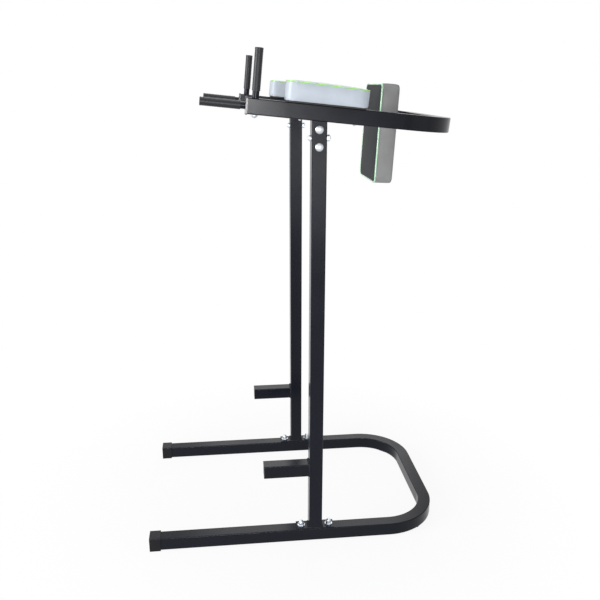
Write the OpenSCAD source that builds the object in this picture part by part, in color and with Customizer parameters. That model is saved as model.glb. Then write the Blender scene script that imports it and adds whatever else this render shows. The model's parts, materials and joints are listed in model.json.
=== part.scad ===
// Free-standing dip and vertical knee raise station.
// X runs from the open front (-X, the way the user faces) to the rear, Y from the user's left (-Y)
// to the right, Z up. The floor is Z = 0 and X = 0 is the middle of the base. Millimetres.

/* [Square tube] */
// Outside size of the square frame tube
tube = 45; // [40:1:50]
// Wall of the frame tube
tube_wall = 2; // [1.5:0.1:2.5]
// Outside corner radius of the frame tube
tube_edge = 3; // [2.6:0.1:4]
// Centreline radius of the bends in the base and the arm frame
bend_r = 167; // [120:1:200]

/* [Base] */
// Overall length of the base, over the front caps
base_l = 1028; // [960:1:1150]
// Overall width of the base and the arm frame, over the tubes
base_w = 680; // [640:5:760]
// Length of tube that each front cap covers
cap_cover = 33; // [25:1:50]
// Wall of the front caps, which is also the height of the rear feet
cap_wall = 3; // [2.5:0.5:4]
// Front wall of the front caps
cap_face = 4; // [3:0.5:6]
// Length of a rear foot pad
foot_l = 60; // [40:1:80]
// Width of a rear foot pad
foot_w = 36; // [25:1:38]

/* [Uprights] */
// Distance from the middle of the base back to the middle of the uprights
upright_x = 57.5; // [30:0.5:90]
// Height of the arm frame's underside at the middle of the uprights
arm_z = 1417; // [1300:1:1500]
// Length of the welded foot plates
plate_l = 130; // [124:1:150]
// Thickness of the welded foot plates
plate_t = 5; // [4:0.5:8]
// Distance between the two studs of one foot plate
stud_pitch = 96; // [90:1:100]

/* [Steps] */
// Height of the top of the steps
step_z = 302; // [250:1:360]
// Length of a step's tube
step_l = 151; // [120:1:180]
// Thickness of the plug's visible flange
plug_face = 3; // [2:0.5:4]
// How far a plug reaches into its tube
plug_depth = 18; // [12:1:30]

/* [Arm frame] */
// Tilt of the arm frame, front end up, in degrees
arm_tilt = 5.7; // [3:0.1:8]
// Length of the arms ahead of the middle of the uprights
arm_front = 209; // [190:1:230]
// Length of the arm frame behind the middle of the uprights
arm_rear = 436; // [400:1:480]
// Wall of the stub that slides into each upright
stub_wall = 3; // [2:0.5:4]
// Gap between a stub and the inside of its upright, each side
stub_gap = 0.5; // [0.3:0.1:1]
// Length of a stub at its middle
stub_l = 110; // [100:1:140]
// Depth of the upper side screw below the arm frame
side_screw_drop = 23; // [20:0.5:30]
// Distance between the two side screws
side_screw_pitch = 49.5; // [44:0.5:56]

/* [Handles] */
// Diameter of the handle bars
bar_d = 20; // [18:0.5:22]
// Wall of the handle bars
bar_wall = 2; // [1.5:0.1:2.5]
// Wall of the grips over their ribs
grip_wall = 2; // [1.5:0.1:5]
// Length of a grip
grip_l = 116; // [100:1:130]
// Thickness of a grip's closed end
grip_end = 4; // [3:0.5:6]
// Number of ribs along a grip
grip_ribs = 22; // [12:1:30]
// Depth of the grooves between the ribs
groove = 0.7; // [0.4:0.1:1]
// Bare length of the dip handles between the bush and the grip
dip_bare = 14; // [10:1:20]
// Bare length of the upright handles below the grip
post_bare = 20; // [14:1:30]
// Distance from the front end of an arm to the upright handle
post_set = 21.5; // [18:0.5:28]
// Thickness of the arm end bush's flange
bush_face = 5.5; // [4:0.5:7]
// How far the flange stands out from the sides of the arm
bush_lip = 1.5; // [1:0.5:2.5]
// How far a bush reaches into the arm
bush_depth = 12; // [8:0.5:12]

/* [Arm pads] */
// Length of an arm pad
arm_pad_l = 241; // [220:1:260]
// Width of an arm pad
arm_pad_w = 100; // [85:1:120]
// Height of an arm pad above the arm at its rear end
arm_pad_h = 58; // [45:1:70]
// How much higher an arm pad is at its front end
arm_pad_rise = 5; // [0:1:10]
// Distance from the middle of the uprights back to the middle of an arm pad
arm_pad_x = 15.5; // [0:0.5:30]
// Corner radius of an arm pad in plan
arm_pad_r = 25; // [15:1:35]
// Distance from the front end of an arm pad to its front screw
arm_screw_front = 50; // [40:1:60]
// Distance from the rear end of an arm pad to its rear screw
arm_screw_rear = 30; // [19:1:45]
// Thickness of an arm pad's board
arm_board_t = 12; // [10:0.5:15]
// Height of the board that shows below the cushion
arm_board_show = 4; // [2:0.5:6]

/* [Back pad] */
// Width of the back pad
back_pad_w = 250; // [230:1:270]
// Height of the back pad
back_pad_h = 314; // [280:1:330]
// Thickness of the back pad
back_pad_t = 65; // [44:1:70]
// Corner radius of the back pad
back_pad_r = 22; // [14:1:55]
// Lean of the back pad from upright, top rearward, in degrees
back_lean = 2.8; // [0:0.1:7]
// Distance from the middle of the uprights back to the rear face of the back pad
back_x = 278.5; // [240:0.5:320]
// Drop from the arm frame's underside at the uprights to the middle of the back pad
back_drop = 55; // [35:1:60]
// Thickness of the back pad's board
back_board_t = 12; // [10:0.5:15]
// Size of the square cross tube behind the back pad
cross_tube = 30; // [25:1:34]
// Height of the cross tube's middle above the arm frame's underside
cross_up = 20; // [17:0.5:25]
// Thickness of the bracket plate
bracket_t = 5; // [4:0.5:6]
// Width of the bracket plate
bracket_w = 120; // [110:1:140]
// Height of the bracket plate
bracket_h = 190; // [180:1:220]
// Sideways distance between the back pad's screws
back_pitch_y = 90; // [80:1:96]
// Upward distance between the back pad's screws
back_pitch_z = 150; // [140:1:165]

/* [Cushions] */
// Rise of an arm cushion's middle above its edge
crown = 3; // [1:0.5:5]
// Rise of the back cushion's middle above its edge
back_crown = 6; // [1:0.5:9]
// How far a cushion's sides are drawn in between its corners
draw_in = 1.5; // [0.5:0.5:3]
// Distance from a cushion's outline in to its board
wrap = 5; // [4:0.5:8]

/* [Fasteners] */
// Diameter of the frame bolts, screws and studs
bolt_d = 10; // [8:1:10]
// Head diameter of the side screws
side_head_d = 24; // [20:0.5:26]
// Head height of the side screws
side_head_h = 6; // [4:0.5:7]
// Head diameter of the cross bolts
cross_head_d = 20; // [18:0.5:22]
// Head height of the cross bolts and handle bolts
cross_head_h = 8; // [6:0.5:9]
// Width across the flats of the frame nuts
nut_af = 17; // [15:0.5:18]
// Height of the hexagon of the frame nuts
nut_h = 8; // [6:0.5:9]
// Outside diameter of the washers under the base nuts
base_washer_d = 26; // [22:0.5:30]
// Outside diameter of the washers on the cross bolts and handle bolts
washer_d = 20; // [18.5:0.5:22]
// Height of the low cap nuts on the cross bolts
cap_nut_h = 12; // [11:0.5:14]
// Thickness of the frame washers
washer_t = 2; // [1:0.1:2.5]
// Diameter of the pad screws
pad_screw_d = 6; // [5:0.5:8]
// Head diameter of the pad screws
pad_head_d = 10; // [9:0.5:14]
// Height of the pad screws' heads
pad_head_h = 4.5; // [3.5:0.5:5.5]
// Outside diameter of the washers behind the back pad
pad_washer_d = 14; // [13:0.5:18]
// Thickness of the washers behind the back pad
pad_washer_t = 1.2; // [0.8:0.1:2]
// Added to a bolt's diameter for its clearance hole
hole_gap = 0.5; // [0.3:0.1:1]
// Added to a bolt's diameter for its thread in a nut
thread_gap = 0.1; // [0.05:0.01:0.2]

/* [Hidden] */
$fn = 48;

// Base: the rails rest on the caps and the rear feet
rail_z = cap_wall;
base_top = rail_z + tube;
rail_y = base_w / 2 - tube / 2;
base_front = -base_l / 2 + cap_face;
base_rear = base_l / 2;
foot_arc = 45;
// Uprights
foot_z = base_top + plate_t;
stub = tube - 2 * tube_wall - 2 * stub_gap;
side_screw_z = arm_z - side_screw_drop;
cross_z = side_screw_z - side_screw_pitch / 2;
// Handles, measured along the arm from the middle of the uprights
bush_bore = bar_d + 0.4;
grip_bore = bar_d + 0.2;
grip_d = grip_bore + 2 * grip_wall;
bar_bore = bar_d - 2 * bar_wall;
post_u = -arm_front + post_set;
dip_past = 24;
dip_tail = post_u + dip_past;
dip_grip_u = -arm_front - bush_face - dip_bare;
dip_tip_u = dip_grip_u - grip_l;
post_grip_w = tube + post_bare;
insert_l = 25;
// Pads
arm_cushion_h = arm_pad_h - arm_board_show;
arm_pocket = arm_board_t - arm_board_show;
arm_screw_us = [arm_pad_x - arm_pad_l / 2 + arm_screw_front, arm_pad_x + arm_pad_l / 2 - arm_screw_rear];
back_z = arm_z - back_drop;
seat = 0.3;
// Tee nuts: the barrel stops tee_short before the board's outer face
tee_flange_t = 1.5;
tee_flange_d = 20;
tee_barrel_d = pad_screw_d + 4;
tee_short = 1.2;
// Bolts: depth of the hexagon socket, length past the nut, and distance that a pad screw and a
// cross bolt stop short
socket_h = 2.5;
bolt_past = 2;
screw_short = 3;
cap_short = 1;
stud_head_h = 3;
stud_head_d = bolt_d + 8;
dome_rise = 2;

// Shapes that repeat

// A filled square with rounded corners, centred
module soft_square(size, r) {
    square([size - 2 * r, size], center = true);
    square([size, size - 2 * r], center = true);
    for (sx = [-1, 1], sy = [-1, 1])
        translate([sx * (size / 2 - r), sy * (size / 2 - r)]) circle(r, $fn = 24);
}

// The cross-section of a square tube, centred
module tube_section(size, wall, r) {
    difference() {
        soft_square(size, r);
        soft_square(size - 2 * wall, max(r - wall, 0.5));
    }
}

module frame_section() {
    tube_section(tube, tube_wall, tube_edge);
}

// A square tube lying along X from x0 to x1, centred on the X axis
module tube_x(x0, x1) {
    translate([x0, 0, 0]) rotate([90, 0, 90]) linear_extrude(x1 - x0) frame_section();
}

// A section bent into a U that is open towards -X, centred on Z = 0
module bent_u(width, front, rear) {
    side = width / 2 - tube / 2;
    bend_x = rear - tube / 2 - bend_r;
    for (s = [-1, 1]) {
        translate([front, s * side, 0]) rotate([90, 0, 90]) linear_extrude(bend_x - front) children();
        translate([bend_x, s * (side - bend_r), 0]) rotate([0, 0, s > 0 ? 0 : -90])
            rotate_extrude(angle = 90, $fn = 96) translate([bend_r, 0]) children();
    }
    translate([rear - tube / 2, -(side - bend_r), 0]) rotate([-90, 0, 0])
        linear_extrude(2 * (side - bend_r)) children();
}

// A round-topped cap of a sphere, standing on Z = 0
module dome(d, h) {
    ball = (d * d / 4 + h * h) / (2 * h);
    rotate_extrude() intersection() {
        translate([0, h - ball]) circle(ball, $fn = 96);
        square([d / 2, h]);
    }
}

module hexagon(af, h) {
    cylinder(h = h, d = af / cos(30), $fn = 6);
}

module ring(outer, inner, h) {
    difference() {
        cylinder(h = h, d = outer);
        translate([0, 0, -1]) cylinder(h = h + 2, d = inner);
    }
}

// A plain nut standing on Z = 0
module nut(af, h, d) {
    difference() {
        hexagon(af, h);
        translate([0, 0, -1]) cylinder(h = h + 2, d = d + thread_gap);
    }
}

// A low cap nut standing on Z = 0: a hexagon under a shallow dome, with a blind thread
module cap_nut(af, h, total, d) {
    difference() {
        union() {
            hexagon(af, h);
            translate([0, 0, h]) dome(af - 1, total - h);
        }
        translate([0, 0, -1]) cylinder(h = h + 1, d = d + thread_gap);
    }
}

// A tall domed cap nut standing on Z = 0, with a blind thread
module dome_nut(af, h, d) {
    cap_d = af - 1;
    difference() {
        union() {
            hexagon(af, h);
            cylinder(h = h + dome_rise, d = cap_d);
            translate([0, 0, h + dome_rise]) sphere(d = cap_d);
        }
        translate([0, 0, -cap_d]) cylinder(h = cap_d, d = 2 * af);
        translate([0, 0, -1]) cylinder(h = h + bolt_past + 3, d = d + thread_gap);
    }
}

// A bolt whose domed head stands up from Z = 0 and whose shank hangs below it
module domed_bolt(d, l, head_d, head_h) {
    difference() {
        union() {
            dome(head_d, head_h);
            translate([0, 0, -l]) cylinder(h = l + 1, d = d);
        }
        translate([0, 0, head_h - socket_h]) hexagon(d * 0.6, 2 * socket_h);
    }
}

// A tee nut: flange standing up from Z = 0, barrel below it
module tee_nut(board_t) {
    barrel = board_t - seat - tee_flange_t - tee_short;
    difference() {
        union() {
            cylinder(h = tee_flange_t, d = tee_flange_d);
            translate([0, 0, -barrel]) cylinder(h = barrel + 1, d = tee_barrel_d);
        }
        translate([0, 0, -barrel - 1]) cylinder(h = barrel + 4, d = pad_screw_d + thread_gap);
    }
}

// The room that a tee nut takes up in its board
module tee_pocket(board_t) {
    cylinder(h = tee_flange_t + 1, d = tee_flange_d + 0.4);
    translate([0, 0, -board_t - 1]) cylinder(h = board_t + 2, d = tee_barrel_d + 0.2);
}

// Places of the pieces

// One side of the station: s = -1 for the left, 1 for the right
module side_at(s) {
    translate([0, s * rail_y, 0]) children();
}

// The arm frame's own place: X along the arm from the middle of the uprights, Z = 0 its underside
module on_arm() {
    translate([upright_x, 0, arm_z]) rotate([0, arm_tilt, 0]) children();
}

// The back pad's own place: X = 0 its rear face, Z = 0 its middle height
module on_back() {
    translate([upright_x + back_x, 0, back_z]) rotate([0, back_lean, 0]) children();
}

module stud_places() {
    for (s = [-1, 1], e = [-1, 1])
        translate([upright_x + e * stud_pitch / 2, s * rail_y, 0]) children();
}

module side_screw_places() {
    for (s = [-1, 1], k = [0, 1])
        translate([upright_x, s * base_w / 2, side_screw_z - k * side_screw_pitch])
            rotate([s > 0 ? -90 : 90, 0, 0]) children();
}

module post_places() {
    on_arm() for (s = [-1, 1]) translate([post_u, s * rail_y, 0]) children();
}

module arm_screw_places() {
    on_arm() for (s = [-1, 1], u = arm_screw_us) translate([u, s * rail_y, 0]) children();
}

module back_screw_places() {
    on_back() for (sy = [-1, 1], sz = [-1, 1])
        translate([0, sy * back_pitch_y / 2, sz * back_pitch_z / 2]) rotate([0, 90, 0]) children();
}

// Everything above the arm frame's underside
module above_arm() {
    on_arm() translate([-arm_rear, -base_w, 0]) cube([2 * arm_rear, 2 * base_w, arm_rear]);
}

// Cushion outline: a rounded rectangle whose sides are drawn in between the corners

corner_steps = 6;
side_steps = 6;
// The rounded edge, as insets from the full outline, and its height
edge_in = 1;
rim_in = 3.5;
foot_in = 2.5;
edge_h = 3;

function corner_points(l, w, r, q) = [for (i = [0 : corner_steps])
    let (a = 90 * q + 90 * i / corner_steps,
        cx = (q == 0 || q == 3 ? 1 : -1) * (l / 2 - r),
        cy = (q < 2 ? 1 : -1) * (w / 2 - r))
    [cx + r * cos(a), cy + r * sin(a)]];

function side_points(l, w, r, draw, q) = [for (i = [1 : side_steps - 1])
    let (f = i / side_steps, pull = draw * 4 * f * (1 - f), along = 1 - 2 * f,
        sign = q < 2 ? 1 : -1)
    q % 2 == 0 ? [sign * along * (l / 2 - r), sign * (w / 2 - pull)]
        : [-sign * (l / 2 - pull), sign * along * (w / 2 - r)]];

function outline(l, w, r, draw) = [for (q = [0 : 3])
    each concat(corner_points(l, w, r, q), side_points(l, w, r, draw, q))];

function level(points, z, k = 1) = [for (p = points) [k * p[0], k * p[1], z]];

// Rings above the underside are lifted towards -X, by lift at the top of the -X end
function raised(points, l, h, lift) = [for (p = points)
    [p[0], p[1], p[2] * (1 + lift / h * (0.5 - p[0] / l))]];

// A crowned cushion standing on Z = 0 with a pocket for its board in its underside
module cushion(l, w, h, r, pocket, crown, lift = 0) {
    full = outline(l, w, r, draw_in);
    edge = outline(l - 2 * edge_in, w - 2 * edge_in, r - edge_in, draw_in);
    rim = outline(l - 2 * rim_in, w - 2 * rim_in, r - rim_in, draw_in);
    foot = outline(l - 2 * foot_in, w - 2 * foot_in, r - foot_in, draw_in);
    well = outline(l - 2 * wrap, w - 2 * wrap, r - wrap, 0);
    rise = h - crown;
    upper = [level(edge, edge_h), level(full, rise * 0.35), level(full, rise * 0.65),
        level(edge, rise - edge_h), level(rim, rise),
        for (k = [0.85, 0.65, 0.4, 0.15]) level(rim, rise + crown * (1 - k * k), k)];
    rings = [level(well, pocket), level(well, 0), level(foot, 0),
        for (ring = upper) raised(ring, l, h, lift)];
    n = len(full);
    last = len(rings) - 1;
    points = concat([for (ring = rings) each ring], [[0, 0, pocket], each raised([[0, 0, h]], l, h, lift)]);
    low = len(points) - 2;
    high = len(points) - 1;
    faces = concat(
        [for (i = [0 : n - 1]) [low, i, (i + 1) % n]],
        [for (j = [0 : last - 1], i = [0 : n - 1])
            let (a = j * n + i, b = j * n + (i + 1) % n) each [[a, a + n, b], [b, a + n, b + n]]],
        [for (i = [0 : n - 1]) [last * n + (i + 1) % n, last * n + i, high]]);
    polyhedron(points = points, faces = faces, convexity = 6);
}

// Base

module base_frame() {
    color("#1c1c1e") difference() {
        translate([0, 0, rail_z + tube / 2]) bent_u(base_w, base_front, base_rear)
            frame_section();
        stud_places() translate([0, 0, base_top - tube / 2])
            cylinder(h = tube, d = bolt_d + hole_gap);
    }
}

module front_cap(s) {
    outer = tube + 2 * cap_wall;
    color("#111113") side_at(s) translate([-base_l / 2, 0, rail_z + tube / 2]) difference() {
        rotate([90, 0, 90]) linear_extrude(cap_face + cap_cover) soft_square(outer, tube_edge);
        translate([cap_face, 0, 0]) rotate([90, 0, 90])
            linear_extrude(cap_cover + 1) soft_square(tube, tube_edge);
    }
}

// A thin rubber pad under the middle of each rear bend
module rear_foot(s) {
    bend_x = base_rear - tube / 2 - bend_r;
    color("#141414") translate([bend_x, s * (rail_y - bend_r), 0]) rotate([0, 0, s * foot_arc])
        translate([bend_r - foot_w / 2, -foot_l / 2, 0]) cube([foot_w, foot_l, rail_z]);
}

// Uprights

module upright(s) {
    color("#1c1c1e") side_at(s) difference() {
        translate([upright_x, 0, foot_z]) linear_extrude(arm_z + tube - foot_z) frame_section();
        side_at(-s) above_arm();
        for (k = [0, 1])
            translate([upright_x, s * tube / 2, side_screw_z - k * side_screw_pitch])
                rotate([90, 0, 0]) cylinder(h = tube / 2, d = bolt_d + hole_gap, center = true);
        translate([upright_x, 0, cross_z]) rotate([0, 90, 0])
            cylinder(h = 2 * tube, d = bolt_d + hole_gap, center = true);
    }
}

module foot_plate(s) {
    color("#1c1c1e") side_at(s) difference() {
        translate([upright_x - plate_l / 2, -tube / 2, base_top]) cube([plate_l, tube, plate_t]);
        for (e = [-1, 1]) translate([upright_x + e * stud_pitch / 2, 0, base_top - 1])
            cylinder(h = plate_t + 2, d = bolt_d + hole_gap);
    }
}

module step(s) {
    front = upright_x - tube / 2;
    color("#1c1c1e") side_at(s) translate([0, 0, step_z - tube / 2]) tube_x(front - step_l, front);
}

// A square plug that closes a tube: a flange outside and a hollow skirt inside
module step_plug(s) {
    skirt = tube - 2 * tube_wall - 0.2;
    front = upright_x - tube / 2 - step_l;
    color("#111113") side_at(s) translate([front, 0, step_z - tube / 2]) rotate([90, 0, 90]) {
        translate([0, 0, -plug_face]) linear_extrude(plug_face) soft_square(tube, tube_edge);
        linear_extrude(plug_depth) tube_section(skirt, 2.5, 1);
    }
}

// Studs welded into the top wall of the base, up through the foot plates
module base_studs() {
    color("silver") stud_places() {
        translate([0, 0, base_top - tube_wall - stud_head_h]) cylinder(h = stud_head_h, d = stud_head_d);
        translate([0, 0, base_top - tube_wall - 1])
            cylinder(h = tube_wall + 1 + plate_t + washer_t + nut_h + bolt_past, d = bolt_d);
    }
}

module base_washers() {
    color("silver") stud_places() translate([0, 0, foot_z])
        ring(base_washer_d, bolt_d + hole_gap, washer_t);
}

module base_dome_nuts() {
    color("gainsboro") stud_places() translate([0, 0, foot_z + washer_t])
        dome_nut(nut_af, nut_h, bolt_d);
}

// Joint between the uprights and the arm frame

module arm_stub(s) {
    color("#1c1c1e") side_at(s) difference() {
        translate([upright_x, 0, arm_z - stub_l]) linear_extrude(stub_l + tube)
            tube_section(stub, stub_wall, tube_edge);
        side_at(-s) above_arm();
        for (k = [0, 1])
            translate([upright_x, s * tube / 2, side_screw_z - k * side_screw_pitch])
                rotate([90, 0, 0]) cylinder(h = tube / 2, d = bolt_d + hole_gap, center = true);
        translate([upright_x, 0, cross_z]) rotate([0, 90, 0])
            cylinder(h = 2 * tube, d = bolt_d + hole_gap, center = true);
    }
}

module stub_weld_nuts() {
    depth = tube_wall + stub_gap + stub_wall;
    color("silver") side_screw_places() translate([0, 0, -depth - nut_h]) nut(nut_af, nut_h, bolt_d);
}

module side_screws() {
    grip_depth = tube_wall + stub_gap + stub_wall + nut_h;
    color("gainsboro") side_screw_places()
        domed_bolt(bolt_d, grip_depth + bolt_past, side_head_d, side_head_h);
}

module cross_places() {
    for (s = [-1, 1]) translate([upright_x, s * rail_y, cross_z]) rotate([0, -90, 0]) children();
}

module cross_bolts() {
    color("gainsboro") cross_places() translate([0, 0, tube / 2 + washer_t])
        domed_bolt(bolt_d, tube + 2 * washer_t + nut_h - cap_short, cross_head_d, cross_head_h);
}

module cross_bolt_washers() {
    color("silver") cross_places() for (z = [tube / 2, -tube / 2 - washer_t])
        translate([0, 0, z]) ring(washer_d, bolt_d + hole_gap, washer_t);
}

module cross_bolt_nuts() {
    color("gainsboro") cross_places() translate([0, 0, -tube / 2 - washer_t]) rotate([180, 0, 0])
        cap_nut(nut_af, nut_h, cap_nut_h, bolt_d);
}

// Arm frame

module arm_frame() {
    color("#1c1c1e") difference() {
        on_arm() translate([0, 0, tube / 2]) bent_u(base_w, -arm_front, arm_rear) frame_section();
        post_places() translate([0, 0, -1]) cylinder(h = tube + 2, d = bolt_d + hole_gap);
        arm_screw_places() translate([0, 0, -1]) cylinder(h = tube + 2, d = pad_screw_d + hole_gap);
    }
}

// A moulded bush that closes the arm's front end and carries the dip handle's bar
module arm_bush(s) {
    skirt = tube - 2 * tube_wall - 0.2;
    flange = tube + 2 * bush_lip;
    color("#26262a") on_arm() side_at(s) translate([-arm_front, 0, tube / 2]) rotate([90, 0, 90])
        difference() {
            union() {
                translate([0, 0, -bush_face]) linear_extrude(bush_face) soft_square(flange, tube_edge);
                linear_extrude(bush_depth) soft_square(skirt, 1);
            }
            translate([0, 0, -bush_face - 1]) cylinder(h = bush_face + bush_depth + 2, d = bush_bore);
        }
}

// Handles

module dip_bar(s) {
    color("#1c1c1e") on_arm() side_at(s) translate([0, 0, tube / 2]) difference() {
        translate([dip_tip_u + grip_end, 0, 0]) rotate([0, 90, 0])
            ring(bar_d, bar_bore, dip_tail - dip_tip_u - grip_end);
        translate([post_u, 0, 0]) cylinder(h = tube, d = bolt_d + hole_gap, center = true);
    }
}

// A ribbed sleeve with one closed, rounded end at Z = 0 that opens upwards
module grip() {
    pitch = (grip_l - 12) / grip_ribs;
    color("#2b2b2d") rotate_extrude() difference() {
        union() {
            translate([0, 2]) square([grip_d / 2, grip_l - 3]);
            square([grip_d / 2 - 2, 3]);
            translate([grip_d / 2 - 2, 2]) circle(2, $fn = 24);
            translate([0, grip_l - 2]) square([grip_d / 2 - 1, 2]);
        }
        translate([0, grip_end]) square([grip_bore / 2, grip_l]);
        translate([-grip_d, -1]) square([grip_d, grip_l + 2]);
        for (i = [0 : grip_ribs])
            translate([grip_d / 2 - groove, 6 + i * pitch]) square([groove + 1, pitch * 0.35]);
    }
}

module dip_grip(s) {
    on_arm() side_at(s) translate([dip_tip_u, 0, tube / 2]) rotate([0, 90, 0]) grip();
}

module post_handle(s) {
    color("#1c1c1e") on_arm() side_at(s) translate([post_u, 0, tube])
        ring(bar_d, bar_bore, post_bare + grip_l - grip_end);
}

module post_grip(s) {
    on_arm() side_at(s) translate([post_u, 0, post_grip_w + grip_l]) rotate([180, 0, 0]) grip();
}

// Threaded slugs pressed and welded into the lower ends of the upright handles
module post_inserts() {
    color("silver") post_places() translate([0, 0, tube]) ring(bar_bore, bolt_d + thread_gap, insert_l);
}

module post_bolts() {
    color("gainsboro") post_places() translate([0, 0, -washer_t]) rotate([180, 0, 0])
        domed_bolt(bolt_d, washer_t + tube + insert_l - screw_short, cross_head_d, cross_head_h);
}

module post_washers() {
    color("silver") post_places() translate([0, 0, -washer_t]) ring(washer_d, bolt_d + hole_gap, washer_t);
}

// Arm pads

module arm_board(s) {
    color("#1a1a1a") difference() {
        on_arm() side_at(s) translate([arm_pad_x, 0, tube]) linear_extrude(arm_board_t - seat)
            rounded_rect(arm_pad_l - 2 * wrap - 2 * seat, arm_pad_w - 2 * wrap - 2 * seat, arm_pad_r - wrap);
        arm_screw_places() translate([0, 0, tube + arm_board_t - seat - tee_flange_t]) tee_pocket(arm_board_t);
    }
}

// A filled rectangle with rounded corners, centred
module rounded_rect(l, w, r) {
    square([l - 2 * r, w], center = true);
    square([l, w - 2 * r], center = true);
    for (sx = [-1, 1], sy = [-1, 1])
        translate([sx * (l / 2 - r), sy * (w / 2 - r)]) circle(r);
}

module arm_cushion(s) {
    color("#d3d8de") on_arm() side_at(s) translate([arm_pad_x, 0, tube + arm_board_show])
        cushion(arm_pad_l, arm_pad_w, arm_cushion_h, arm_pad_r, arm_pocket, crown, arm_pad_rise);
}

module arm_pad_screws() {
    color("silver") arm_screw_places() rotate([180, 0, 0])
        domed_bolt(pad_screw_d, tube + arm_board_t - screw_short, pad_head_d, pad_head_h);
}

module arm_pad_tee_nuts() {
    color("silver") arm_screw_places() translate([0, 0, tube + arm_board_t - seat - tee_flange_t])
        tee_nut(arm_board_t);
}

// Back pad

// The cross tube lies straight behind the bracket, its middle cross_up above the arm's underside
cross_x = bracket_t + cross_tube / 2;
cross_lift = arm_z - tan(arm_tilt) * (back_x + cross_x) + cross_up - back_z;

// The cross tube's ends are cut to fit the insides of the arm frame's bends
module back_cross_tube() {
    span = base_w - tube;
    color("#1c1c1e") difference() {
        on_back() translate([cross_x, -span / 2, cross_lift]) rotate([-90, 0, 0])
            linear_extrude(span) tube_section(cross_tube, tube_wall, tube_edge);
        on_arm() translate([0, 0, tube / 2]) bent_u(base_w, -arm_front, arm_rear)
            soft_square(tube, tube_edge);
    }
}

module back_bracket() {
    color("#1c1c1e") difference() {
        on_back() translate([0, -bracket_w / 2, -bracket_h / 2]) cube([bracket_t, bracket_w, bracket_h]);
        back_screw_places() translate([0, 0, -1]) cylinder(h = bracket_t + 2, d = pad_screw_d + hole_gap);
    }
}

module back_board() {
    color("#6f5a41") difference() {
        on_back() translate([-back_board_t + seat, 0, 0]) rotate([90, 0, 90])
            linear_extrude(back_board_t - seat) rounded_rect(back_pad_w - 2 * wrap - 2 * seat,
                back_pad_h - 2 * wrap - 2 * seat, back_pad_r - wrap);
        back_screw_places() translate([0, 0, -back_board_t + seat + tee_flange_t]) rotate([180, 0, 0])
            tee_pocket(back_board_t);
    }
}

module back_cushion() {
    color("#6c6c6e") on_back() rotate([0, -90, 0])
        cushion(back_pad_h, back_pad_w, back_pad_t, back_pad_r, back_board_t, back_crown);
}

module back_pad_screws() {
    color("silver") back_screw_places() translate([0, 0, bracket_t + pad_washer_t])
        domed_bolt(pad_screw_d, pad_washer_t + bracket_t + back_board_t - screw_short,
            pad_head_d, pad_head_h);
}

module back_pad_washers() {
    color("silver") back_screw_places() translate([0, 0, bracket_t])
        ring(pad_washer_d, pad_screw_d + hole_gap, pad_washer_t);
}

module back_pad_tee_nuts() {
    color("silver") back_screw_places() translate([0, 0, -back_board_t + seat + tee_flange_t])
        rotate([180, 0, 0]) tee_nut(back_board_t);
}

// The pieces, one name at a time

base_frame();
front_cap(-1);  // left_front_cap
front_cap(1);  // right_front_cap
rear_foot(-1);  // left_rear_foot
rear_foot(1);  // right_rear_foot
upright(-1);  // left_upright
upright(1);  // right_upright
foot_plate(-1);  // left_foot_plate
foot_plate(1);  // right_foot_plate
step(-1);  // left_step
step(1);  // right_step
step_plug(-1);  // left_step_plug
step_plug(1);  // right_step_plug
base_studs();
base_washers();
base_dome_nuts();
arm_stub(-1);  // left_arm_stub
arm_stub(1);  // right_arm_stub
stub_weld_nuts();
side_screws();
cross_bolts();
cross_bolt_washers();
cross_bolt_nuts();
arm_frame();
arm_bush(-1);  // left_arm_bush
arm_bush(1);  // right_arm_bush
dip_bar(-1);  // left_dip_bar
dip_bar(1);  // right_dip_bar
dip_grip(-1);  // left_dip_grip
dip_grip(1);  // right_dip_grip
post_handle(-1);  // left_post_handle
post_handle(1);  // right_post_handle
post_grip(-1);  // left_post_grip
post_grip(1);  // right_post_grip
post_inserts();
post_bolts();
post_washers();
arm_board(-1);  // left_arm_board
arm_board(1);  // right_arm_board
arm_cushion(-1);  // left_arm_cushion
arm_cushion(1);  // right_arm_cushion
arm_pad_screws();
arm_pad_tee_nuts();
back_cross_tube();
back_bracket();
back_board();
back_cushion();
back_pad_screws();
back_pad_washers();
back_pad_tee_nuts();
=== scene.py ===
"""Dip and vertical knee raise station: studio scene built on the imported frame."""
import json
import math

import bmesh
import bpy
from bpy.props import FloatProperty, FloatVectorProperty, PointerProperty
from mathutils import Matrix, Vector
from mathutils.bvhtree import BVHTree

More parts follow.
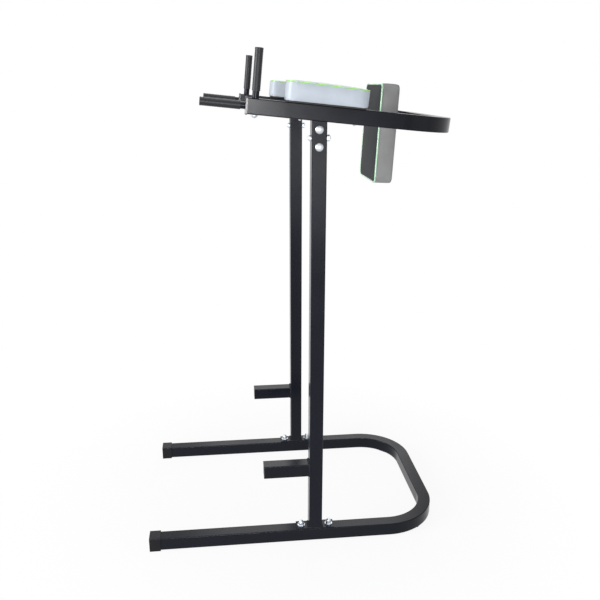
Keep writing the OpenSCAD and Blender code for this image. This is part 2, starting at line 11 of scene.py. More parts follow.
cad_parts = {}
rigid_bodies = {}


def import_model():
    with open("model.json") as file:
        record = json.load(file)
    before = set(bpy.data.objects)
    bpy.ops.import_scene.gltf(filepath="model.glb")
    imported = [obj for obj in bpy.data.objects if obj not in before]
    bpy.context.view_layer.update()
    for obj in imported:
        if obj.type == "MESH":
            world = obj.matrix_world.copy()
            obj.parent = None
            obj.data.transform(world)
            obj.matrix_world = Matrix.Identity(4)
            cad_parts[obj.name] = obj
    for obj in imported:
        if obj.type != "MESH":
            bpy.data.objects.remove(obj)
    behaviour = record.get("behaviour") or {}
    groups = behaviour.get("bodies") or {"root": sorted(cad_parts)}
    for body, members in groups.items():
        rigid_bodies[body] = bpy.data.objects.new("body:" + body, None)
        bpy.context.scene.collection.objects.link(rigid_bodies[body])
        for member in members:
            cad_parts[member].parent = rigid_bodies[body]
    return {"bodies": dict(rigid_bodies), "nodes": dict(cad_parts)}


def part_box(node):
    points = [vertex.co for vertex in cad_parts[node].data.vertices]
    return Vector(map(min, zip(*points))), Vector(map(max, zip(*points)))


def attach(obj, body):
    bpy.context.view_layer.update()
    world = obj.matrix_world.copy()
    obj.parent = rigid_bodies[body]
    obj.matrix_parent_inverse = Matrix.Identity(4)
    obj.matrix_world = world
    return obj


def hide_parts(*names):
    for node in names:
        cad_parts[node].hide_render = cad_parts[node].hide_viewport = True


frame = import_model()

bl_info = {
    "name": "Knee Raise Station",
    "version": (1, 0, 0),
    "blender": (4, 5, 0),
    "location": "3D View > Sidebar > Station",
    "description":
        "Dresses the packed frame of a dip and knee raise station and sets up its studio",
    "category": "Object",
}

BODY = next(iter(frame["bodies"]))
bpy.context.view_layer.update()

# Nodes of the frame by finish
STEEL = ["base_frame", "arm_frame", "back_cross_tube", "back_bracket"] + [
    f"{side}_{piece}" for side in ("left", "right")
    for piece in ("upright", "foot_plate", "step", "arm_stub", "dip_bar", "post_handle")]
ZINC = ["base_studs", "base_washers", "base_dome_nuts", "stub_weld_nuts", "side_screws",
        "cross_bolts", "cross_bolt_washers", "cross_bolt_nuts", "post_inserts", "post_bolts",
        "post_washers", "arm_pad_screws", "arm_pad_tee_nuts", "back_pad_screws",
        "back_pad_washers", "back_pad_tee_nuts"]
PLASTIC = [f"{side}_{piece}" for side in ("left", "right") for piece in ("front_cap", "step_plug")]
BUSHES = ["left_arm_bush", "right_arm_bush"]
GRIPS = [f"{side}_{piece}" for side in ("left", "right") for piece in ("dip_grip", "post_grip")]
FEET = ["left_rear_foot", "right_rear_foot"]
BOARDS = ["left_arm_board", "right_arm_board", "back_board"]

# The arm frame rises to its front by 5.7 degrees, and an arm pad's place is given along it.
ARM_ROOT = Matrix.Translation((0.0575, 0, 1.417)) @ Matrix.Rotation(math.radians(5.7), 4, "Y")
ARM_PAD_X, ARM_PAD_Y, ARM_PAD_Z = 0.0155, 0.3175, 0.049

# The back pad faces the open front and leans back by 2.8 degrees.
BACK_PAD = (Matrix.Translation((0.336, 0, 1.362)) @ Matrix.Rotation(math.radians(2.8), 4, "Y")
            @ Matrix.Rotation(math.radians(-90), 4, "Y"))

# Depth of the room for a board in a cushion's underside, and its distance from the cushion's side
ARM_BOARD_ROOM, BACK_BOARD_ROOM, BOARD_EDGE = 0.008, 0.012, 0.005

# A seam's distance from a pad's upper edge and from its side
SEAM_IN = 0.001

# A cushion before it swells: how far its foot and lip are rounded in, how high the foot is and how
# far down the lip and the shoulder under it are, where its band and crown have rings, the tightest
# corner of a ring and the spacing of the grid
FOOT_IN, FOOT_HIGH = 0.0015, 0.003
LIP_IN, LIP_DOWN, SHOULDER_DOWN = 0.0025, 0.0008, 0.004
BAND_SHARES = (0.35, 0.65)
CROWN_SCALES = (1.0, 0.94, 0.85, 0.6, 0.3)
TIGHTEST_CORNER = 0.004
GRID = 0.0045

# What holds a cushion while it swells: its stapled foot, and its seam with a strip above and below
# it and inwards from the side
STAPLED_HIGH = 0.004
SEAM_DOWN, SEAM_STRIP, SEAM_REACH = 0.002, 0.006, 0.012
SWELL_FRAMES = 20

# Points of a weld bead's path to one ripple, its corner radius, and the shares of its thickness by
# which it stays inside the flush sides and by which the ripples vary it
RIPPLE_POINTS, WELD_CORNER, WELD_TUCK, RIPPLE_SHARE = 4, 0.003, 0.6, 0.1

# Faces that meet at a wider angle than this keep a sharp edge
SHARP_ANGLE = math.radians(32)


def linear(code):
    """Linear RGBA of an sRGB hex colour."""
    parts = [int(code[i:i + 2], 16) / 255 for i in (1, 3, 5)]
    return (*[p / 12.92 if p <= 0.04045 else ((p + 0.055) / 1.055) ** 2.4 for p in parts], 1.0)


def length(name, description, default, low=0.0, high=10.0):
    """A length property, in metres."""
    return FloatProperty(name=name, description=description, default=default, min=low, max=high,
                         unit="LENGTH", subtype="DISTANCE", precision=4)


def angle(name, description, default):
    """An angle property, in radians."""
    return FloatProperty(name=name, description=description, default=default, subtype="ANGLE",
                         unit="ROTATION")


def colour(name, description, code):
    """A colour property whose default is an sRGB hex colour."""
    return FloatVectorProperty(name=name, description=description, default=linear(code)[:3],
                               min=0.0, max=1.0, size=3, subtype="COLOR")


class StationFinishes(bpy.types.PropertyGroup):
    steel: colour("Frame coat", "Powder coat on the steel tubes", "#0e1019")
    weld_size: length("Weld bead", "Thickness of the beads round the steps and uprights", 0.009)
    weld_ripple: length("Weld ripple", "Distance between two ripples of a bead", 0.0048)
    zinc: colour("Zinc plate", "Plating of the bolts, nuts and washers", "#d6dbe4")
    plastic: colour("Caps and plugs", "Moulded end caps, plugs and bushes", "#0d0e14")
    rubber: colour("Grips", "Ribbed hand grips", "#1b1c22")
    arm_vinyl: colour("Arm pad vinyl", "Cover of the arm pads", "#bcc5cf")
    back_front: colour("Back pad front", "Front panel of the back pad", "#38393b")
    back_side: colour("Back pad side", "Side band of the back pad", "#949494")
    arm_piping: colour("Arm piping", "Piping sewn round the top of the arm pads", "#96de66")
    # The back piping's colour is its lime paled towards mint: partly its own colour, partly a
    # painted highlight standing in for the key lamp's reflection on its near side.
    back_piping: colour("Back piping", "Piping sewn round the front of the back pad", "#a9d6b2")
    board: colour("Pad boards", "Stained plywood under the pads", "#241f1c")


class StationPads(bpy.types.PropertyGroup):
    arm_length: length("Arm pad length", "Length of an arm pad", 0.241)
    arm_width: length("Arm pad width", "Width of an arm pad", 0.100)
    arm_height: length("Arm cushion height", "Height of an arm cushion at its rear end", 0.054)
    arm_rise: length("Arm cushion rise", "How much higher an arm cushion is at its front", 0.005)
    arm_crown: length("Arm cushion crown", "Rise of an arm cushion's middle above its edge", 0.003)
    arm_corner: length("Arm pad corner", "Corner radius of an arm pad in plan", 0.025)
    back_height: length("Back pad height", "Height of the back pad", 0.314)
    back_width: length("Back pad width", "Width of the back pad", 0.250)
    back_thick: length("Back pad thickness", "Thickness of the back pad", 0.065)
    back_crown: length("Back pad crown", "Rise of the back pad's middle above its edge", 0.006)
    back_corner: length("Back pad corner", "Corner radius of the back pad", 0.022)
    arm_piping: length("Arm piping", "Diameter of the piping on the arm pads", 0.0036)
    back_piping: length("Back piping", "Diameter of the piping on the back pad", 0.0060)
    arm_pressure: FloatProperty(name="Arm pad pressure", default=4.0, min=0.0, max=20.0,
                                description="Pressure that swells an arm cushion")
    back_pressure: FloatProperty(name="Back pad pressure", default=9.0, min=0.0, max=20.0,
                                 description="Pressure that swells the back cushion")
    start_inset: length("Start inset", "How much smaller a cushion starts than it ends", 0.0012)
    swell_cap: length("Swell cap", "Furthest that a point of a cushion may swell", 0.006)


class StationStage(bpy.types.PropertyGroup):
    floor: colour("Floor", "Pale studio floor", "#f4f4f4")
    floor_size: length("Floor size", "Side of the studio floor", 60.0, high=200.0)
    camera_place: FloatVectorProperty(name="Camera place", description="Where the camera stands",
                                      default=(-0.2334, -2.4244, 1.5249), size=3, unit="LENGTH",
                                      subtype="XYZ")
    camera_yaw: angle("Yaw", "Turn of the camera to the right of straight ahead", 0.1122)
    camera_pitch: angle("Pitch", "Dip of the camera below level", 0.3249)
    camera_roll: angle("Roll", "Roll of the camera", -0.0018)
    camera_lens: FloatProperty(name="Lens", description="Focal length in mm on a 36 mm wide sensor",
                               default=42.43, min=10.0, max=300.0)
    camera_shift: FloatProperty(name="Shift", description="Upward shift, as a share of the width",
                                default=0.0333)


def node(tree, kind, inputs=None, **settings):
    """Adds a node with its settings; an input takes a value or another node's socket."""
    made = tree.nodes.new(kind)
    for key, value in settings.items():
        setattr(made, key, value)
    for key, value in (inputs or {}).items():
        if isinstance(value, bpy.types.NodeSocket):
            tree.links.new(value, made.inputs[key])
        else:
            made.inputs[key].default_value = value
    return made


def blank(name):
    """A material with an empty tree, and its tree."""
    made = bpy.data.materials.new(name)
    made.use_nodes = True
    made.node_tree.nodes.clear()
    return made, made.node_tree


def close(tree, shader):
    """Links a shader to the material's output."""
    node(tree, "ShaderNodeOutputMaterial", {"Surface": shader.outputs[0]})


def place(tree):
    """Object coordinates, in metres."""
    return node(tree, "ShaderNodeTexCoord").outputs["Object"]


def ramp(tree, value, *stops):
    """A colour ramp on value; each stop is (position, RGBA)."""
    made = node(tree, "ShaderNodeValToRGB", {"Fac": value})
    while len(made.color_ramp.elements) < len(stops):
        made.color_ramp.elements.new(0.5)
    for element, (position, rgba) in zip(made.color_ramp.elements, stops):
        element.position, element.color = position, rgba
    return made.outputs["Color"]


def spread(tree, value, low, high, from_low=0.3, from_high=0.7):
    """value moved to the range low to high."""
    return node(tree, "ShaderNodeMapRange", {
        "Value": value, "From Min": from_low, "From Max": from_high, "To Min": low,
        "To Max": high}).outputs["Result"]


def shade(rgb, factor):
    """A colour made darker or lighter, with alpha."""
    return (*[min(1.0, c * factor) for c in rgb], 1.0)


def noise(tree, where, size, detail):
    """The value of a noise whose features are about size metres across."""
    return node(tree, "ShaderNodeTexNoise", {"Vector": where, "Scale": 1 / size,
                                             "Detail": detail}).outputs["Fac"]


def tinted(tree, value, rgb, low, high, start=0.35, end=0.65):
    """rgb times low to high, as value rises from start to end."""
    return ramp(tree, value, (start, shade(rgb, low)), (end, shade(rgb, high)))


def mixed(tree, factor, one, two):
    """A colour between two, by factor."""
    return node(tree, "ShaderNodeMix", {"Factor": factor, 6: one, 7: two},
                data_type="RGBA").outputs[2]


def bumped(tree, height, strength, distance, **more):
    """A normal that follows height, by distance in metres."""
    return node(tree, "ShaderNodeBump", {"Height": height, "Strength": strength,
                                         "Distance": distance, **more}).outputs[0]


def finished(tree, inputs):
    """Ends a material with one surface shader that has these inputs."""
    close(tree, node(tree, "ShaderNodeBsdfPrincipled", inputs))


def powder_coat(rgb):
    # Powder-coated steel: black polyester, sprayed and baked. A smooth satin skin with faint orange
    # peel, a dusting of fine specks, and a thinner, greyer film along the tube's edges.
    made, tree = blank("powder_coated_steel")
    where = place(tree)
    peel, drift = noise(tree, where, 0.004, 1.0), noise(tree, where, 0.12, 3.0)
    specks = noise(tree, where, 0.0025, 4.0)
    edge = node(tree, "ShaderNodeNewGeometry").outputs["Pointiness"]
    worn = node(tree, "ShaderNodeMath", {0: spread(tree, edge, 0.0, 1.0, 0.52, 0.60),
                                         1: spread(tree, specks, 0.0, 1.0, 0.45, 0.75)},
                operation="MULTIPLY", use_clamp=True)
    body = tinted(tree, drift, rgb, 0.85, 1.12)
    finished(tree, {
        "Base Color": mixed(tree, worn.outputs[0], body, shade(rgb, 3.0)), "IOR": 1.5,
        "Specular IOR Level": 0.17, "Roughness": spread(tree, drift, 0.16, 0.24),
        "Normal": bumped(tree, peel, 0.03, 0.0004)})
    return made


def zinc_plate(rgb):
    # Bright zinc plate with a clear passivate: barrel-plated steel, shiny and a little cloudy,
    # with faint warm and blue patches and short tumbling marks.
    made, tree = blank("bright_zinc_plate")
    where = place(tree)
    cloud, marks = noise(tree, where, 0.006, 3.0), noise(tree, where, 0.0006, 2.0)
    r, g, b = rgb
    warm, blue = (r, g * 0.985, b * 0.94, 1), (r * 0.96, g * 0.99, b, 1)
    finished(tree, {
        "Base Color": ramp(tree, cloud, (0.35, warm), (0.65, blue)), "Metallic": 1.0,
        "Roughness": spread(tree, cloud, 0.33, 0.46), "Normal": bumped(tree, marks, 0.08, 0.0001)})
    return made


def moulded(name, rgb, roughness, grain, depth, gloss):
    # Injection-moulded black polyethylene for the caps, plugs and bushes, rubber for the grips and
    # feet: an even, slightly waxy body whose tool left a fine spark-eroded grain.
    made, tree = blank(name)
    where = place(tree)
    fine, wide = noise(tree, where, grain, 2.0), noise(tree, where, 0.03, 3.0)
    finished(tree, {
        "Base Color": tinted(tree, wide, rgb, 0.85, 1.15), "IOR": 1.5, "Specular IOR Level": gloss,
        "Roughness": spread(tree, fine, roughness - 0.06, roughness + 0.06),
        "Normal": bumped(tree, fine, 0.3, depth)})
    return made


def vinyl(name, rgb, roughness=0.4, gloss=0.5, side=None):
    # Upholstery vinyl: PVC on a knit backing, embossed with a pebbled leather grain about 1.5 mm
    # across, drawn a little coarser than real so that it shows, with soft stretch wrinkles.
    made, tree = blank(name)
    where = place(tree)
    pebble = node(tree, "ShaderNodeTexVoronoi", {"Vector": where, "Scale": 1 / 0.0018},
                  feature="SMOOTH_F1").outputs["Distance"]
    wide = noise(tree, where, 0.045, 3.0)
    body = tinted(tree, wide, rgb, 0.94, 1.04, 0.3, 0.7)
    if side:
        # The front panel and the side band are cut from two shades, which meet at the piping.
        limit, other = side
        facing = node(tree, "ShaderNodeSeparateXYZ", {"Vector": where}).outputs["Z"]
        split = node(tree, "ShaderNodeMath", {0: facing, 1: limit}, operation="LESS_THAN")
        body = mixed(tree, split.outputs[0], body, tinted(tree, wide, other, 0.94, 1.04, 0.3, 0.7))
    wrinkled = bumped(tree, wide, 0.35, 0.004)
    finished(tree, {
        "Base Color": body, "IOR": 1.5, "Specular IOR Level": gloss,
        "Roughness": spread(tree, pebble, roughness - 0.05, roughness + 0.08, 0.0, 0.6),
        "Normal": bumped(tree, pebble, 0.25, 0.0003, Normal=wrinkled)})
    return made


def cord_vinyl(name, rgb):
    # Piping: soft PVC drawn tight over a cord, much glossier than the pads' covers, so that its
    # round back carries a pale highlight along its whole length.
    # For the back pad's piping, rgb itself is paled as well, a painted highlight on top of this
    # gloss.
    made, tree = blank(name)
    pull = noise(tree, place(tree), 0.008, 2.0)
    finished(tree, {
        "Base Color": tinted(tree, pull, rgb, 0.92, 1.05, 0.3, 0.7), "IOR": 1.5,
        "Specular IOR Level": 0.9, "Roughness": 0.24, "Coat Weight": 0.8, "Coat Roughness": 0.15,
        "Normal": bumped(tree, pull, 0.15, 0.0006)})
    return made


def plywood(rgb):
    # Black-stained plywood: flat face veneer under a thin stain, its fine grain about 80 mm long
    # and 5 mm wide, along the board.
    made, tree = blank("stained_plywood")
    along = node(tree, "ShaderNodeMapping", {"Vector": place(tree), "Scale": (12.0, 220.0, 220.0)})
    grain = noise(tree, along.outputs[0], 1.0, 4.0)
    finished(tree, {
        "Base Color": tinted(tree, grain, rgb, 0.7, 1.5), "Roughness": 0.65,
        "Normal": bumped(tree, grain, 0.3, 0.0003)})
    return made


def covered(mesh, material):
    """Puts one material on the whole mesh and shades it smooth."""
    mesh.materials.clear()
    mesh.materials.append(material)
    mesh.polygons.foreach_set("use_smooth", [True] * len(mesh.polygons))
    mesh.polygons.foreach_set("material_index", [0] * len(mesh.polygons))


def dress(names, material):
    """Covers these frame nodes with a material and shades their round faces smooth."""
    for name in names:
        mesh = frame["nodes"][name].data
        covered(mesh, material)
        mesh.set_sharp_from_angle(angle=SHARP_ANGLE)


def outline(l, w, r, steps=10, straight=0.006):
    """Points round a rounded rectangle, evenly spaced, counterclockwise."""
    points = []
    for quarter, (cx, cy) in enumerate(((1, 1), (-1, 1), (-1, -1), (1, -1))):
        centre = Vector((cx * (l / 2 - r), cy * (w / 2 - r)))
        for i in range(steps + 1):
            a = math.pi / 2 * (quarter + i / steps)
            points.append(centre + Vector((math.cos(a), math.sin(a))) * r)
        span = (w if quarter % 2 else l) - 2 * r
        count = max(2, round(span / straight))
        way = (Vector((-1, 0)), Vector((0, -1)), Vector((1, 0)), Vector((0, 1)))[quarter]
        last = points[-1].copy()
        points += [last + way * span * i / count for i in range(1, count)]
    return points


def built(name, grown):
    """The object of a finished bmesh, with its faces turned outwards."""
    bmesh.ops.recalc_face_normals(grown, faces=grown.faces[:])
    mesh = bpy.data.meshes.new(name)
    grown.to_mesh(mesh)
    grown.free()
    made = bpy.data.objects.new(name, mesh)
    bpy.context.scene.collection.objects.link(made)
    return made


def skin(name, rings, top, bottom):
    """A closed mesh through rings of points, capped with fans."""
    grown = bmesh.new()
    rows = [[grown.verts.new(p) for p in ring] for ring in rings]
    n = len(rows[0])
    for low, high in zip(rows, rows[1:]):
        for i in range(n):
            grown.faces.new((low[i], low[(i + 1) % n], high[(i + 1) % n], high[i]))
    peak, root = grown.verts.new(top), grown.verts.new(bottom)
    for i in range(n):
        grown.faces.new((rows[-1][i], rows[-1][(i + 1) % n], peak))
        grown.faces.new((rows[0][(i + 1) % n], rows[0][i], root))
    return built(name, grown)


def applied(piece):
    """Applies the modifiers of a piece, in place."""
    bpy.context.view_layer.update()
    graph = bpy.context.evaluated_depsgraph_get()
    done = bpy.data.meshes.new_from_object(piece.evaluated_get(graph))
    piece.modifiers.clear()
    old, piece.data = piece.data, done
    bpy.data.meshes.remove(old)


def ring_at(l, w, r, inset, z, k=1.0):
    """A pad's outline at height z, drawn in by inset and then scaled by k."""
    return [Vector((k * p.x, k * p.y, z))
            for p in outline(l - 2 * inset, w - 2 * inset, max(r - inset, TIGHTEST_CORNER))]


def blown_cushion(name, l, w, h, r, crown, pressure):
    """A boxed foam cushion on Z = 0, sewn along its upper edge and swollen by cloth simulation."""
    pads = bpy.context.scene.station_pads
    inset, cap = pads.start_inset, pads.swell_cap
    rise = h - crown
    band = [FOOT_HIGH, *[rise * share for share in BAND_SHARES], rise - SHOULDER_DOWN]
    rings = [ring_at(l, w, r, inset + FOOT_IN, 0.0)]
    rings += [ring_at(l, w, r, inset, z) for z in band]
    rings += [ring_at(l, w, r, inset + LIP_IN, rise - LIP_DOWN + crown * (1 - k ** 4), k)
              for k in CROWN_SCALES]
    made = skin(name, rings, (0, 0, rise + crown), (0, 0, 0))
    grid = made.modifiers.new("grid", "REMESH")
    grid.mode, grid.voxel_size = "VOXEL", GRID
    applied(made)
    before = [v.co.copy() for v in made.data.vertices]
    # Held where it is sewn or stapled: the upper seam and the underside.
    hold = made.vertex_groups.new(name="sewn")
    for v in made.data.vertices:
        near_seam = max(0.0, 1 - abs(v.co.z - (rise - SEAM_DOWN)) / SEAM_STRIP)
        edge_gap = min(l / 2 - abs(v.co.x), w / 2 - abs(v.co.y))
        weight = 1.0 if v.co.z < STAPLED_HIGH else near_seam if edge_gap < SEAM_REACH else 0.0
        hold.add([v.index], weight, "REPLACE")
    cloth = made.modifiers.new("swell", "CLOTH")
    cloth.settings.quality = 5
    cloth.settings.mass = 0.25
    cloth.settings.tension_stiffness = cloth.settings.compression_stiffness = 25
    cloth.settings.use_pressure = True
    cloth.settings.uniform_pressure_force = pressure
    cloth.settings.vertex_group_mass = "sewn"
    cloth.settings.effector_weights.gravity = 0
    cloth.collision_settings.use_self_collision = False
    cloth.point_cache.frame_start, cloth.point_cache.frame_end = 1, SWELL_FRAMES
    for step in range(1, SWELL_FRAMES + 1):
        bpy.context.scene.frame_set(step)
    applied(made)
    bpy.context.scene.frame_set(1)
    for v, start in zip(made.data.vertices, before):
        move = v.co - start
        if move.length > cap:
            v.co = start + move * (cap / move.length)
    smooth = made.modifiers.new("smooth", "SUBSURF")
    smooth.levels = smooth.render_levels = 1
    applied(made)
    for v in made.data.vertices:
        v.co.z = max(v.co.z, 0.0)
    made.vertex_groups.clear()
    return made


def hollow(cushion, l, w, r, depth):
    """Cuts the room for the board out of a cushion's underside."""
    below = -0.01
    cutter = skin("board_room", [ring_at(l, w, r, BOARD_EDGE, z) for z in (below, depth)],
                  (0, 0, depth), (0, 0, below))
    cut = cushion.modifiers.new("room", "BOOLEAN")
    cut.operation, cut.object, cut.solver = "DIFFERENCE", cutter, "EXACT"
    applied(cushion)
    bpy.data.objects.remove(cutter)


def lifted(piece, l, h, lift):
    """Raises a piece towards its -X end, by lift at the top of that end."""
    for v in piece.data.vertices:
        v.co.z *= 1 + lift / h * (0.5 - v.co.x / l)


def closed_cord(name, path, thicknesses, material):
    """A round cord along a closed path near the XY plane, with its thickness at each point."""
    n, sides = len(path), 10
    grown = bmesh.new()
    loops = []
    for i, (p, thick) in enumerate(zip(path, thicknesses)):
        along = (path[(i + 1) % n] - path[i - 1]).normalized()
        out = along.cross(Vector((0, 0, 1))).normalized()
        up = out.cross(along).normalized()
        loops.append([grown.verts.new(p + (out * math.cos(a) + up * math.sin(a)) * thick / 2)
                      for a in (2 * math.pi * k / sides for k in range(sides))])
    for i in range(n):
        one, two = loops[i], loops[(i + 1) % n]
        for k in range(sides):
            grown.faces.new((one[k], one[(k + 1) % sides], two[(k + 1) % sides], two[k]))
    made = built(name, grown)
    covered(made.data, material)
    return made


def sewn_piping(name, cushion, l, w, r, z, inset, thick, material):
    """A round cord covered in vinyl, laid along the cushion's seam and seated on its skin."""
    tree = BVHTree.FromObject(cushion, bpy.context.evaluated_depsgraph_get())
    path = []
    for p in ring_at(l, w, r, inset, z):
        spot, normal = tree.find_nearest(p)[:2]
        path.append(spot + normal * thick * 0.05)
    made = closed_cord(name, path, [thick] * len(path), material)
    made.matrix_world = cushion.matrix_world
    return made


def weld_bead(name, l, w, matrix, material):
    """A rippled weld round a square tube's end, half sunk in the corner."""
    finishes = bpy.context.scene.station_finishes
    thick, step = finishes.weld_size, finishes.weld_ripple / RIPPLE_POINTS
    path = [p.to_3d() for p in outline(l, w - thick * WELD_TUCK, WELD_CORNER, 4, step)]
    thicknesses = [thick * (1 + RIPPLE_SHARE * math.cos(2 * math.pi * i / RIPPLE_POINTS))
                   for i in range(len(path))]
    made = closed_cord(name, path, thicknesses, material)
    made.matrix_world = matrix
    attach(made, BODY)


def upholstered(name, replaced, size, board_depth, matrix, cover, piping, thick):
    """One finished pad on its board: cushion, its board room and the piping round its face."""
    l, w, h, r, crown, lift, pressure = size
    cushion = blown_cushion(name, l, w, h, r, crown, pressure)
    cord = sewn_piping(f"{name}_piping", cushion, l, w, r, h - crown - SEAM_IN, SEAM_IN, thick,
                       piping)
    for piece in (cushion, cord):
        lifted(piece, l, h, lift)
    hollow(cushion, l, w, r, board_depth)
    covered(cushion.data, cover)
    for piece in (cushion, cord):
        piece.matrix_world = matrix
        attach(piece, BODY)
    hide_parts(replaced)


class STATION_OT_steel(bpy.types.Operator):
    """Powder coat on the tubes, plates, bars and bracket"""
    bl_idname = "station.steel"
    bl_label = "Coat the Steel"

    def execute(self, context):
        dress(STEEL, powder_coat(context.scene.station_finishes.steel))
        return {"FINISHED"}


class STATION_OT_welds(bpy.types.Operator):
    """Coated weld beads where the steps and the foot plates meet the uprights"""
    bl_idname = "station.welds"
    bl_label = "Weld the Steps and Foot Plates"

    def execute(self, context):
        coat = bpy.data.materials["powder_coated_steel"]
        for side in ("left", "right"):
            low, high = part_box(f"{side}_step")
            middle = (low + high) / 2
            upright_face = Matrix.Translation((high.x, middle.y, middle.z))
            weld_bead(f"{side}_step_weld", high.z - low.z, high.y - low.y,
                      upright_face @ Matrix.Rotation(math.radians(90), 4, "Y"), coat)
            low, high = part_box(f"{side}_upright")
            middle, plate = (low + high) / 2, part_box(f"{side}_foot_plate")[1].z
            weld_bead(f"{side}_foot_weld", high.x - low.x, high.y - low.y,
                      Matrix.Translation((middle.x, middle.y, plate)), coat)
        return {"FINISHED"}


class STATION_OT_fasteners(bpy.types.Operator):
    """Zinc plate on the studs, bolts, screws, nuts and washers"""
    bl_idname = "station.fasteners"
    bl_label = "Plate the Fasteners"

    def execute(self, context):
        dress(ZINC, zinc_plate(context.scene.station_finishes.zinc))
        return {"FINISHED"}


class STATION_OT_mouldings(bpy.types.Operator):
    """Moulded caps, plugs and bushes, rubber grips and rubber feet"""
    bl_idname = "station.mouldings"
    bl_label = "Finish the Mouldings"

    def execute(self, context):
        finishes = context.scene.station_finishes
        black, grey = finishes.plastic, finishes.rubber
        for names, material, rgb, roughness, grain, depth, gloss in (
                (PLASTIC, "moulded_polyethylene", black, 0.28, 0.0012, 0.0002, 0.25),
                (BUSHES, "polished_polyethylene", black, 0.2, 0.002, 0.00005, 0.5),
                (GRIPS, "moulded_rubber", grey, 0.42, 0.001, 0.0001, 0.4),
                (FEET, "foot_rubber", black, 0.7, 0.001, 0.0002, 0.3)):
            dress(names, moulded(material, rgb, roughness, grain, depth, gloss))
        return {"FINISHED"}


class STATION_OT_boards(bpy.types.Operator):
    """Stained plywood boards under the pads"""
    bl_idname = "station.boards"
    bl_label = "Stain the Boards"

    def execute(self, context):
        dress(BOARDS, plywood(context.scene.station_finishes.board))
        return {"FINISHED"}


class STATION_OT_arm_pads(bpy.types.Operator):
    """Both arm pads with their lime piping"""
    bl_idname = "station.arm_pads"
    bl_label = "Sew the Arm Pads"

    def execute(self, context):
        finishes, pads = context.scene.station_finishes, context.scene.station_pads
        cover = vinyl("light_grey_vinyl", finishes.arm_vinyl, 0.38)
        trim = cord_vinyl("lime_piping_vinyl", finishes.arm_piping)
        size = (pads.arm_length, pads.arm_width, pads.arm_height, pads.arm_corner, pads.arm_crown,
                pads.arm_rise, pads.arm_pressure)
        for name, side in (("left", -1), ("right", 1)):
            upholstered(f"{name}_arm_pad", f"{name}_arm_cushion", size, ARM_BOARD_ROOM,
                        ARM_ROOT @ Matrix.Translation((ARM_PAD_X, side * ARM_PAD_Y, ARM_PAD_Z)),
                        cover, trim, pads.arm_piping)
        return {"FINISHED"}


class STATION_OT_back_pad(bpy.types.Operator):
    """The back pad with its two shades of grey and its lime piping"""
    bl_idname = "station.back_pad"
    bl_label = "Sew the Back Pad"

    def execute(self, context):
        finishes, pads = context.scene.station_finishes, context.scene.station_pads
        seam = pads.back_thick - pads.back_crown - SEAM_IN
        cover = vinyl("dark_grey_vinyl", finishes.back_front, 0.6, 0.08,
                      side=(seam, finishes.back_side))
        # The back piping's colour is paler than its own lime: a painted highlight for the key
        # lamp's reflection.
        trim = cord_vinyl("lime_piping_vinyl_painted_highlight", finishes.back_piping)
        size = (pads.back_height, pads.back_width, pads.back_thick, pads.back_corner,
                pads.back_crown, 0.0, pads.back_pressure)
        upholstered("back_pad", "back_cushion", size, BACK_BOARD_ROOM, BACK_PAD, cover, trim,
                    pads.back_piping)
        return {"FINISHED"}


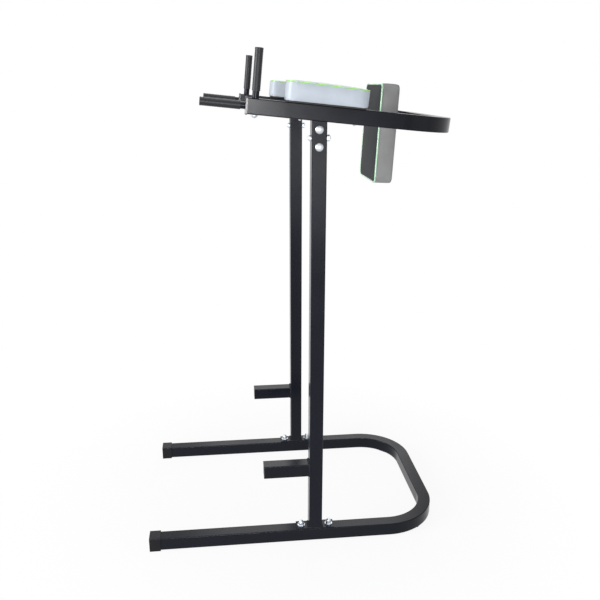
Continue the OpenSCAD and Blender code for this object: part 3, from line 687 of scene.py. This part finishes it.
class STATION_OT_stage(bpy.types.Operator):
    """Pale floor, white surround, soft lamps and the camera"""
    bl_idname = "station.stage"
    bl_label = "Set the Stage"

    def execute(self, context):
        stage, scene = context.scene.station_stage, context.scene
        scene.view_settings.view_transform = "Standard"
        self.floor(stage)
        self.surround(scene)
        self.lamps()
        self.camera(stage, scene)
        return {"FINISHED"}

    def white(self, tree):
        """1 for camera, glossy and transmission rays, else 0."""
        path = node(tree, "ShaderNodeLightPath")
        share = path.outputs["Is Camera Ray"]
        for kind in ("Is Glossy Ray", "Is Transmission Ray"):
            share = node(tree, "ShaderNodeMath", {0: share, 1: path.outputs[kind]},
                         operation="ADD", use_clamp=True).outputs[0]
        return share

    def floor(self, stage):
        half = stage.floor_size / 2
        mesh = bpy.data.meshes.new("floor")
        corners = [(-half, -half, 0), (half, -half, 0), (half, half, 0), (-half, half, 0)]
        mesh.from_pydata(corners, [], [(0, 1, 2, 3)])
        made = bpy.data.objects.new("floor", mesh)
        bpy.context.scene.collection.objects.link(made)
        # Seamless white paper: matte, lit like the rest near the station, and fading to plain
        # white further out so that no horizon shows.
        cover, tree = blank("studio_paper")
        paper = node(tree, "ShaderNodeBsdfDiffuse", {"Color": (*stage.floor, 1.0)})
        glow = node(tree, "ShaderNodeEmission", {"Color": (1, 1, 1, 1), "Strength": 1.0})
        flat = node(tree, "ShaderNodeVectorMath", {0: place(tree)}, operation="LENGTH")
        near, far, near_share = 0.55, 1.1, 0.91
        plain = spread(tree, flat.outputs["Value"], near_share, 1.0, near, far)
        share = node(tree, "ShaderNodeMath", {0: plain, 1: self.white(tree)}, operation="MULTIPLY",
                     use_clamp=True)
        close(tree, node(tree, "ShaderNodeMixShader", {0: share.outputs[0], 1: paper.outputs[0],
                                                       2: glow.outputs[0]}))
        mesh.materials.append(cover)

    def surround(self, scene):
        world = bpy.data.worlds.new("studio_surround")
        world.use_nodes = True
        tree = world.node_tree
        tree.nodes.clear()
        soft = node(tree, "ShaderNodeBackground", {"Color": (0.95, 0.97, 1.0, 1), "Strength": 0.25})
        seen = node(tree, "ShaderNodeBackground", {"Color": (1, 1, 1, 1), "Strength": 1.0})
        both = node(tree, "ShaderNodeMixShader", {0: self.white(tree), 1: soft.outputs[0],
                                                  2: seen.outputs[0]})
        node(tree, "ShaderNodeOutputWorld", {"Surface": both.outputs[0]})
        scene.world = world

    def lamps(self):
        """Soft boxes: the key at the left, a fill at the right, one overhead, one behind for the
        tops of the rails, two behind the camera for the near arm and upright, and a low one."""
        for name, spot, aim, size, power in (
                ("key", (-4.4, -1.4, 2.2), (0, 0, 1.0), 2.2, 175),
                ("fill", (4.2, -4.0, 1.6), (0, 0, 1.0), 3.0, 7),
                ("top", (0.2, 0.2, 4.2), (0, 0, 0), 3.0, 36),
                ("back", (0.7, 5.0, 3.9), (0, 0, 0.6), 2.6, 32),
                ("front", (-0.3, -6.0, 1.3), (-0.1, 0, 1.3), 1.15, 98),
                ("side", (0.9, -6.0, 0.5), (0, 0, 1.0), 1.0, 11),
                ("low", (-1.4, -3.2, 0.35), (0.3, 0, 1.2), 0.8, 12)):
            data = bpy.data.lights.new(name, "AREA")
            data.shape, data.size, data.energy = "SQUARE", size, power
            lamp = bpy.data.objects.new(name, data)
            lamp.location = spot
            lamp.rotation_euler = (Vector(aim) - Vector(spot)).to_track_quat("-Z", "Y").to_euler()
            bpy.context.scene.collection.objects.link(lamp)

    def camera(self, stage, scene):
        data = bpy.data.cameras.new("camera")
        data.sensor_width = 36.0
        data.lens, data.shift_y = stage.camera_lens, stage.camera_shift
        made = bpy.data.objects.new("camera", data)
        scene.collection.objects.link(made)
        yaw, pitch, roll = stage.camera_yaw, stage.camera_pitch, stage.camera_roll
        level = math.cos(pitch)
        ahead = Vector((math.sin(yaw) * level, math.cos(yaw) * level, -math.sin(pitch)))
        right = Vector((math.cos(yaw), -math.sin(yaw), 0))
        down = ahead.cross(right)
        turned = math.cos(roll) * right + math.sin(roll) * down
        lower = -math.sin(roll) * right + math.cos(roll) * down
        turn = Matrix((turned, -lower, -ahead)).transposed().to_4x4()
        made.matrix_world = Matrix.Translation(stage.camera_place) @ turn
        scene.camera = made


OPERATORS = (STATION_OT_stage, STATION_OT_steel, STATION_OT_welds, STATION_OT_fasteners,
             STATION_OT_mouldings, STATION_OT_boards, STATION_OT_arm_pads, STATION_OT_back_pad)


class STATION_PT_panel(bpy.types.Panel):
    """Lists the steps that dress the station"""
    bl_idname = "STATION_PT_panel"
    bl_label = "Knee Raise Station"
    bl_space_type = "VIEW_3D"
    bl_region_type = "UI"
    bl_category = "Station"

    def draw(self, context):
        for group in GROUPS:
            settings = getattr(context.scene, group)
            box = self.layout.box()
            for key in type(settings).__annotations__:
                box.prop(settings, key)
        for operator in OPERATORS:
            self.layout.operator(operator.bl_idname)


GROUPS = {"station_finishes": StationFinishes, "station_pads": StationPads,
          "station_stage": StationStage}


def register():
    for made in (*GROUPS.values(), *OPERATORS, STATION_PT_panel):
        bpy.utils.register_class(made)
    for key, group in GROUPS.items():
        setattr(bpy.types.Scene, key, PointerProperty(type=group))


def unregister():
    for key in GROUPS:
        delattr(bpy.types.Scene, key)
    for made in (STATION_PT_panel, *reversed(OPERATORS), *GROUPS.values()):
        bpy.utils.unregister_class(made)


def main():
    register()
    for step in ("stage", "steel", "welds", "fasteners", "mouldings", "boards", "arm_pads",
                 "back_pad"):
        getattr(bpy.ops.station, step)()


if __name__ == "__main__":
    main()
